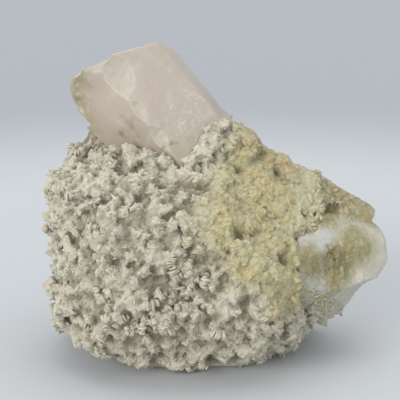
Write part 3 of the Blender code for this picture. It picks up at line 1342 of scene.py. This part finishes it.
class Nodes:
    """A node tree with short calls to add nodes and to join them."""

    def __init__(self, tree: NodeTree) -> None:
        """Takes the tree and empties it."""
        self.tree = tree
        tree.nodes.clear()

    def add(self, kind: str, fed: dict | None = None, **settings: object) -> Node:
        """Adds a node.

        Args:
            kind: The node's type.
            fed: A socket or a plain value for each input, by its name or number.
            settings: The node's own settings.

        Returns:
            The node.
        """
        node = self.tree.nodes.new(kind)
        for key, value in settings.items():
            setattr(node, key, value)
        for key, value in (fed or {}).items():
            if isinstance(value, NodeSocket):
                self.tree.links.new(value, node.inputs[key])
            else:
                node.inputs[key].default_value = value
        return node

    def value(self, name: str) -> NodeSocket:
        """The numbers that the mesh keeps under the name at its vertices."""
        return self.add("ShaderNodeAttribute", attribute_name=name).outputs["Fac"]

    def place(self) -> NodeSocket:
        """The place on the piece, in metres."""
        return self.add("ShaderNodeTexCoord").outputs["Object"]

    def sum(self, kind: str, first: object, second: object) -> NodeSocket:
        """A sum of two values, kept from 0 to 1.

        Args:
            kind: The kind of sum: ADD, MULTIPLY and so on.
            first: A socket or a plain value.
            second: Another.

        Returns:
            The result.
        """
        node = self.add("ShaderNodeMath", {0: first, 1: second}, operation=kind)
        node.use_clamp = True
        return node.outputs[0]

    def fused(self, value: object, share: float, more: object) -> NodeSocket:
        """A share of the value, and more added to it."""
        fed = {0: value, 1: share, 2: more}
        return self.add("ShaderNodeMath", fed, operation="MULTIPLY_ADD").outputs[0]

    def vector(self, kind: str, fed: dict) -> NodeOutputs:
        """A sum of vectors, of the kind SCALE, SUBTRACT and so on."""
        return self.add("ShaderNodeVectorMath", fed, operation=kind).outputs

    def noise(
        self, place: object, scale: object, detail: float, roughness: object = 0.5
    ) -> NodeOutputs:
        """Uneven values over the place, with finer ones added by the detail."""
        fed = {"Vector": place, "Scale": scale, "Detail": detail, "Roughness": roughness}
        return self.add("ShaderNodeTexNoise", fed).outputs

    def span(self, value: object, low: float, high: float) -> NodeSocket:
        """The value between 0 and 1, spread over low to high."""
        fed = {"Value": value, "To Min": low, "To Max": high}
        return self.add("ShaderNodeMapRange", fed).outputs["Result"]

    def step(self, value: object, low: float, high: float, least: float = 0.0) -> NodeSocket:
        """A step of the value, from least at low to 1 at high."""
        fed = {"Value": value, "From Min": low, "From Max": high, "To Min": least}
        return self.add("ShaderNodeMapRange", fed).outputs["Result"]

    def mix(self, share: object, first: object, second: object) -> NodeSocket:
        """The first colour, and the second by the share.

        Args:
            share: A socket or a plain value.
            first: A socket or a colour.
            second: Another.

        Returns:
            The mixed colour.
        """
        fed = {0: share, 6: first, 7: second}
        full = {key: (*value, 1.0) for key, value in fed.items() if isinstance(value, tuple)}
        return self.add("ShaderNodeMix", {**fed, **full}, data_type="RGBA").outputs[2]


class Effect:
    """A shader node group with named inputs and outputs, built once."""

    def __init__(self, name: str, inputs: dict[str, str], outputs: dict[str, str]) -> None:
        """Makes the group and its sockets.

        Args:
            name: The group's name.
            inputs: The kind of each input, Float or Color.
            outputs: The kind of each output.
        """
        self.group = bpy.data.node_groups.new(name, "ShaderNodeTree")
        for way, sockets in (("INPUT", inputs), ("OUTPUT", outputs)):
            for label, kind in sockets.items():
                self.group.interface.new_socket(
                    name=label, in_out=way, socket_type="NodeSocket" + kind
                )
        self.nodes = Nodes(self.group)
        self.fed = self.nodes.add("NodeGroupInput").outputs
        self.out = self.nodes.add("NodeGroupOutput")

    def give(self, label: str, socket: NodeSocket) -> None:
        """Puts the socket out under the label."""
        self.group.links.new(socket, self.out.inputs[label])

    def place(self, nodes: Nodes, fed: dict[str, object]) -> NodeOutputs:
        """Places the group in a material, fed with a socket or a plain value for each input."""
        return nodes.add("ShaderNodeGroup", fed, node_tree=self.group).outputs


class IronStain(Effect):
    """Yellow-green and brown stain that has seeped over and into a mineral."""

    YELLOW: Colour = (0.49, 0.405, 0.18)
    GREEN: Colour = (0.44, 0.405, 0.205)
    BROWN: Colour = (0.29, 0.165, 0.06)
    HUE_SCALE = 130.0

    def __init__(self) -> None:
        """Builds the group."""
        inputs = {"Clean": "Color", "Stain": "Float", "Rust": "Float", "Size": "Float"}
        super().__init__("iron_stain", inputs, {"Color": "Color"})
        nodes = self.nodes
        place = nodes.place()
        patchy = nodes.noise(place, self.fed["Size"], 5.0, 0.6)["Fac"]
        hue = nodes.noise(place, self.HUE_SCALE, 3.0)["Fac"]
        share = nodes.sum("MULTIPLY", self.fed["Stain"], nodes.step(patchy, 0.32, 0.62, 0.55))
        tint = nodes.mix(nodes.step(hue, 0.42, 0.58), self.GREEN, self.YELLOW)
        seeped = nodes.mix(share, self.fed["Clean"], tint)
        rusty = nodes.sum("MULTIPLY", self.fed["Rust"], nodes.step(patchy, 0.40, 0.62))
        self.give("Color", nodes.mix(rusty, seeped, self.BROWN))


class StoneGrain(Effect):
    """Fine uneven grain, as a height and as a mask of its hollows."""

    def __init__(self) -> None:
        """Builds the group."""
        inputs = {"Scale": "Float", "Roughness": "Float"}
        super().__init__("stone_grain", inputs, {"Height": "Float", "Hollows": "Float"})
        nodes = self.nodes
        grain = nodes.noise(nodes.place(), self.fed["Scale"], 6.0, self.fed["Roughness"])["Fac"]
        self.give("Height", grain)
        self.give("Hollows", nodes.step(grain, 0.48, 0.30))


class CleavageGlint(Effect):
    """Small flat breaks, each tilted its own way, which catch the light one by one."""

    MIDDLE = (0.5, 0.5, 0.5)

    def __init__(self) -> None:
        """Builds the group."""
        outputs = {"Height": "Float", "Shade": "Float"}
        super().__init__("cleavage_glint", {"Scale": "Float"}, outputs)
        nodes = self.nodes
        place, scale = nodes.place(), self.fed["Scale"]
        cells = nodes.add("ShaderNodeTexVoronoi", {"Vector": place, "Scale": scale}).outputs
        scaled, middle = (
            nodes.vector("SCALE", {0: spot, "Scale": scale})["Vector"]
            for spot in (place, cells["Position"])
        )
        away = nodes.vector("SUBTRACT", {0: scaled, 1: middle})["Vector"]
        tilt = nodes.vector("SUBTRACT", {0: cells["Color"], 1: self.MIDDLE})["Vector"]
        self.give("Height", nodes.vector("DOT_PRODUCT", {0: away, 1: tilt})["Value"])
        self.give("Shade", cells["Color"])


class Veils(Effect):
    """Healed cracks: thin curved bands that run through a crystal."""

    PUSH = (0.006, 0.006, 0.006)
    BEND_SCALE = 90.0
    BREAK_SCALE = 160.0
    WIDTH = 0.05

    def __init__(self) -> None:
        """Builds the group."""
        super().__init__("veils", {"Scale": "Float"}, {"Veil": "Float"})
        nodes = self.nodes
        place = nodes.place()
        bent = nodes.noise(place, self.BEND_SCALE, 3.0)["Color"]
        pushed = nodes.vector("MULTIPLY_ADD", {0: bent, 1: self.PUSH, 2: place})["Vector"]
        fed = {"Vector": pushed, "Scale": self.fed["Scale"]}
        cells = nodes.add("ShaderNodeTexVoronoi", fed, feature="DISTANCE_TO_EDGE").outputs
        line = nodes.step(cells["Distance"], self.WIDTH, 0.0)
        broken = nodes.noise(place, self.BREAK_SCALE, 2.0)["Fac"]
        self.give("Veil", nodes.sum("MULTIPLY", line, nodes.step(broken, 0.45, 0.60)))


@dataclass(frozen=True)
class Effects:
    """The effects that the finishes share."""

    stain: IronStain
    grain: StoneGrain
    glint: CleavageGlint
    veils: Veils


def new_material(name: str) -> tuple[Material, Nodes, Node]:
    """A material with an output and no shader yet.

    Args:
        name: The material's name.

    Returns:
        The material, its nodes and its output node.
    """
    material = bpy.data.materials.new(name)
    material.use_nodes = True
    nodes = Nodes(material.node_tree)
    return material, nodes, nodes.add("ShaderNodeOutputMaterial")


@dataclass(frozen=True)
class CrustFinish:
    """The white to cream finish of cleavelandite, with painted shade in its hollows."""

    name: str
    white: Colour = (0.58, 0.542, 0.43)
    cream: Colour = (0.475, 0.44, 0.33)
    # The dark brown of the painted shade in the crevices and hollows, and how strongly it is mixed
    # in.
    hollow: Colour = (0.14, 0.11, 0.06)
    depth: float = 0.8
    roughness: tuple[float, float] = (0.45, 0.75)
    relief: float = 0.25
    relief_height: float = 0.0004
    grain_scale: float = 900.0
    glint_scale: float = 1300.0
    stain_scale: float = 330.0
    ior: float = 1.53
    subsurface: float = 0.4
    soaked: Colour = (0.0022, 0.0019, 0.0015)

    def material(self, effects: Effects) -> Material:
        """Builds the material.

        Args:
            effects: The effects that the finishes share.

        Returns:
            The material.
        """
        material, nodes, output = new_material(self.name)
        grain = effects.grain.place(nodes, {"Scale": self.grain_scale, "Roughness": 0.6})
        glint = effects.glint.place(nodes, {"Scale": self.glint_scale})
        tone = nodes.sum("MULTIPLY", nodes.value("tone"), nodes.span(grain["Height"], 0.7, 1.4))
        stain = nodes.value("stain")
        stained = effects.stain.place(
            nodes,
            {
                "Clean": nodes.mix(tone, self.cream, self.white),
                "Stain": nodes.sum("MULTIPLY", stain, nodes.span(tone, 0.75, 1.0)),
                "Rust": nodes.value("rust"),
                "Size": self.stain_scale,
            },
        )
        # Painted shade: the crevices, and the grain's hollows where the stain is, are mixed
        # towards a dark brown.
        grain_hollow_shade = nodes.sum("MULTIPLY", grain["Hollows"], nodes.span(stain, 0.15, 0.5))
        painted_hollow_shade = nodes.sum("ADD", nodes.value("painted_crevice_shade"), grain_hollow_shade)
        deep = nodes.sum("MULTIPLY", painted_hollow_shade, self.depth)
        coloured = nodes.mix(deep, stained["Color"], self.hollow)
        bump = nodes.add(
            "ShaderNodeBump",
            {
                "Strength": self.relief,
                "Distance": self.relief_height,
                "Height": nodes.fused(glint["Height"], 0.5, grain["Height"]),
            },
        )
        shader = nodes.add(
            "ShaderNodeBsdfPrincipled",
            {
                "Base Color": coloured,
                "Roughness": nodes.span(glint["Shade"], *self.roughness),
                "Normal": bump.outputs["Normal"],
                "IOR": self.ior,
                "Subsurface Weight": self.subsurface,
                "Subsurface Radius": self.soaked,
                "Subsurface Scale": 1.0,
            },
        )
        nodes.tree.links.new(shader.outputs[0], output.inputs["Surface"])
        return material


@dataclass(frozen=True)
class CrystalFinish:
    """A clouded, see-through crystal finish with frosted breaks, seeped stain and small painted
    glints.
    """

    name: str
    clear: Colour
    cloudy: Colour
    frosted: Colour
    ior: float
    transmission: float
    roughness: tuple[float, float]
    frosted_roughness: float
    subsurface: float
    depth: Colour
    absorbed: Colour
    density: float
    relief: float
    stain_size: float
    veil_size: float
    relief_height: float = 0.0006
    grain_scale: float = 420.0
    glint_scale: float = 1500.0
    veil_share: float = 0.3
    facet_share: float = 0.6
    # The white of the healed veils and of the painted glints.
    veil_and_glint_white: Colour = (0.92, 0.88, 0.80)

    def material(self, effects: Effects) -> Material:
        """Builds the material.

        Args:
            effects: The effects that the finishes share.

        Returns:
            The material.
        """
        material, nodes, output = new_material(self.name)
        grain = effects.grain.place(nodes, {"Scale": self.grain_scale, "Roughness": 0.55})
        glint = effects.glint.place(nodes, {"Scale": self.glint_scale})
        body = nodes.mix(nodes.value("tone"), self.clear, self.cloudy)
        frost = nodes.value("frost")
        dry = nodes.sum("MULTIPLY", frost, nodes.span(grain["Height"], 0.5, 1.3))
        veil = effects.veils.place(nodes, {"Scale": self.veil_size})["Veil"]
        # Painted glints: small white specks where the etched share is, standing in for sparkles of
        # light; the veils are whitened as well.
        lit = nodes.step(glint["Shade"], 0.70, 0.78)
        painted_glints = nodes.sum("MULTIPLY", nodes.value("etched"), lit)
        light = nodes.sum("ADD", nodes.sum("MULTIPLY", veil, self.veil_share), painted_glints)
        surface = nodes.mix(dry, nodes.mix(light, body, self.veil_and_glint_white), self.frosted)
        stained = effects.stain.place(
            nodes,
            {
                "Clean": surface,
                "Stain": nodes.value("stain"),
                "Rust": nodes.value("rust"),
                "Size": self.stain_size,
            },
        )
        sheen = nodes.span(grain["Height"], *self.roughness)
        rough = nodes.add(
            "ShaderNodeMix", {0: dry, 2: sheen, 3: self.frosted_roughness}, data_type="FLOAT"
        ).outputs[0]
        facets = nodes.add(
            "ShaderNodeMath", {0: glint["Height"], 1: frost}, operation="MULTIPLY"
        ).outputs[0]
        bump = nodes.add(
            "ShaderNodeBump",
            {
                "Strength": self.relief,
                "Distance": self.relief_height,
                "Height": nodes.fused(facets, self.facet_share, grain["Height"]),
            },
        )
        shader = nodes.add(
            "ShaderNodeBsdfPrincipled",
            {
                "Base Color": stained["Color"],
                "Roughness": rough,
                "Normal": bump.outputs["Normal"],
                "IOR": self.ior,
                "Transmission Weight": self.transmission,
                "Subsurface Weight": self.subsurface,
                "Subsurface Radius": self.depth,
                "Subsurface Scale": 1.0,
            },
        )
        volume = nodes.add(
            "ShaderNodeVolumeAbsorption", {"Color": (*self.absorbed, 1.0), "Density": self.density}
        )
        nodes.tree.links.new(shader.outputs[0], output.inputs["Surface"])
        nodes.tree.links.new(volume.outputs[0], output.inputs["Volume"])
        return material


@dataclass
class Studio:
    """A pale floor, darker far off by painted shade, soft light from above and the camera."""

    elevation: float = 15.0
    distance: float = 0.50
    pixel: float = 0.351 * MM
    image: int = 400
    origin_pixel: tuple[float, float] = (205.0, 350.0)
    sensor: float = 36.0
    floor_half: float = 9.0
    # The floor's colour near and far, and the distances between: the darker far colour is painted
    # shade, as the light falls off away from the specimen.
    near: Colour = (0.56, 0.58, 0.595)
    far: Colour = (0.388, 0.402, 0.428)
    fade: tuple[float, float] = (0.22, 0.46)
    floor_roughness: float = 0.9
    sky: Colour = (0.93, 0.96, 1.0)
    sky_strength: float = 0.76
    aim: Place = (0.0, 0.0, 0.05)
    clip: tuple[float, float] = (0.01, 20.0)
    # Each light: its name, where it stands in metres, how wide it looks and its power.
    lamps: tuple[tuple[str, Place, float, float], ...] = (
        ("overhead", (0.12, 0.05, 0.95), 55.0, 0.75),
        ("front_left", (-0.80, -0.95, 0.50), 38.0, 1.75),
        ("front_low", (0.25, -1.10, 0.22), 38.0, 0.42),
    )

    def floor(self) -> None:
        """Lays the floor, a little darker away from the specimen: painted shade, as the light
        falls off far from it.
        """
        mesh = bpy.data.meshes.new("floor")
        half = self.floor_half
        corners = [(-half, -half, 0), (half, -half, 0), (half, half, 0), (-half, half, 0)]
        mesh.from_pydata(corners, [], [(0, 1, 2, 3)])
        floor = placed("floor", mesh)
        material, nodes, output = new_material("floor_paper")
        length = nodes.vector("LENGTH", {0: nodes.place()})["Value"]
        share = nodes.step(length, *self.fade)
        share.node.interpolation_type = "SMOOTHSTEP"
        paper = {
            "Base Color": nodes.mix(share, self.near, self.far),
            "Roughness": self.floor_roughness,
        }
        shader = nodes.add("ShaderNodeBsdfPrincipled", paper)
        nodes.tree.links.new(shader.outputs[0], output.inputs["Surface"])
        mesh.materials.append(material)

    def light(self, name: str, place: Place, spread_angle: float, power: float) -> None:
        """Sets a broad, far light that faces the specimen.

        Args:
            name: The light's name.
            place: Where it stands, in metres.
            spread_angle: How wide it looks from the specimen, in degrees.
            power: What it gives, in watts for a square metre that faces it.
        """
        lamp = bpy.data.lights.new(name, "SUN")
        lamp.angle = math.radians(spread_angle)
        lamp.energy = power
        holder = placed(name, lamp)
        holder.location = place
        holder.rotation_mode = "QUATERNION"
        way = Vector(self.aim) - Vector(place)
        holder.rotation_quaternion = way.to_track_quat("-Z", "Y")

    def lights(self) -> None:
        """Sets the lights and the pale surroundings."""
        for lamp in self.lamps:
            self.light(*lamp)
        world = bpy.data.worlds.new("surroundings")
        world.use_nodes = True
        sky = world.node_tree.nodes["Background"]
        sky.inputs["Color"].default_value = (*self.sky, 1.0)
        sky.inputs["Strength"].default_value = self.sky_strength
        bpy.context.scene.world = world
        bpy.context.scene.view_settings.view_transform = "Standard"

    def camera(self) -> None:
        """Sets the camera where the photograph was taken from."""
        tilt = math.radians(self.elevation)
        back = Vector((0.0, -math.cos(tilt), math.sin(tilt)))
        up = Vector((0.0, math.sin(tilt), math.cos(tilt)))
        right = (self.image / 2 - self.origin_pixel[0]) * self.pixel
        rise = (self.origin_pixel[1] - self.image / 2) * self.pixel
        lens = bpy.data.cameras.new("camera")
        lens.sensor_width = self.sensor
        lens.lens = self.sensor * self.distance / (self.image * self.pixel)
        lens.clip_start, lens.clip_end = self.clip
        camera = placed("camera", lens)
        camera.location = Vector((right, 0.0, 0.0)) + up * rise + back * self.distance
        camera.rotation_mode = "QUATERNION"
        camera.rotation_quaternion = (-back).to_track_quat("-Z", "Y")
        bpy.context.scene.camera = camera

    def build(self) -> None:
        """Sets up all of it."""
        self.floor()
        self.lights()
        self.camera()


MORGANITE_FINISH = CrystalFinish(
    name="morganite",
    clear=(0.64, 0.55, 0.465),
    cloudy=(0.71, 0.64, 0.55),
    frosted=(0.72, 0.675, 0.565),
    ior=1.58,
    transmission=0.40,
    roughness=(0.22, 0.46),
    frosted_roughness=0.62,
    subsurface=0.55,
    depth=(0.006, 0.0042, 0.0036),
    absorbed=(0.98, 0.80, 0.74),
    density=22.0,
    relief=0.30,
    stain_size=260.0,
    veil_size=48.0,
)

QUARTZ_FINISH = CrystalFinish(
    name="quartz",
    clear=(0.74, 0.72, 0.61),
    cloudy=(0.80, 0.78, 0.68),
    frosted=(0.70, 0.675, 0.675),
    ior=1.54,
    transmission=0.38,
    roughness=(0.12, 0.36),
    frosted_roughness=0.42,
    subsurface=0.5,
    depth=(0.005, 0.0045, 0.004),
    absorbed=(0.93, 0.90, 0.76),
    density=16.0,
    relief=0.22,
    stain_size=300.0,
    veil_size=140.0,
)


def main() -> None:
    """Builds the specimen piece by piece, and the studio round it."""
    logging.basicConfig(level=logging.INFO, format="%(name)s: %(message)s")
    effects = Effects(IronStain(), StoneGrain(), CleavageGlint(), Veils())
    zone = Zone()
    neighbours = (Neighbour("morganite_crystal", 0.4 * MM), Neighbour("quartz", 0.9 * MM))
    ground = MatrixGround(zone, neighbours)
    ground.build(CrustFinish("matrix_ground", depth=0.85, relief=0.5).material(effects))
    books = Stack(
        plates=6,
        rim=4,
        radius=(1.3 * MM, 2.5 * MM),
        pitch=0.66 * MM,
        filled=(0.62, 1.15),
        fan=(0.0, 0.45),
        uneven=(0.65, 1.1),
        ragged=0.18,
        lean=(0.0, 1.0),
        rise=0.05,
        shade=0.35,
    )
    flakes = Stack(
        plates=1,
        rim=3,
        radius=(0.9 * MM, 2.5 * MM),
        pitch=0.8 * MM,
        filled=(0.5, 1.0),
        fan=(0.0, 0.2),
        uneven=(0.7, 1.1),
        ragged=0.20,
        lean=(0.2, 1.35),
        rise=-0.40,
        shade=0.30,
    )
    grains = Stack(
        plates=1,
        rim=4,
        radius=(1.2 * MM, 2.8 * MM),
        pitch=1.0 * MM,
        filled=(0.7, 1.3),
        fan=(0.0, 0.3),
        uneven=(0.7, 1.1),
        ragged=0.20,
        lean=(0.9, 1.45),
        rise=-0.58,
        shade=0.15,
    )
    Morganite(Grain(11)).build(MORGANITE_FINISH.material(effects))
    quartz = Quartz(Grain(17))
    quartz.build(QUARTZ_FINISH.material(effects))
    crust = Crust(ground, zone, neighbours, quartz, books, flakes, grains)
    crust.build(CrustFinish("cleavelandite_blades").material(effects))
    Studio().build()


if __name__ == "__main__":
    main()
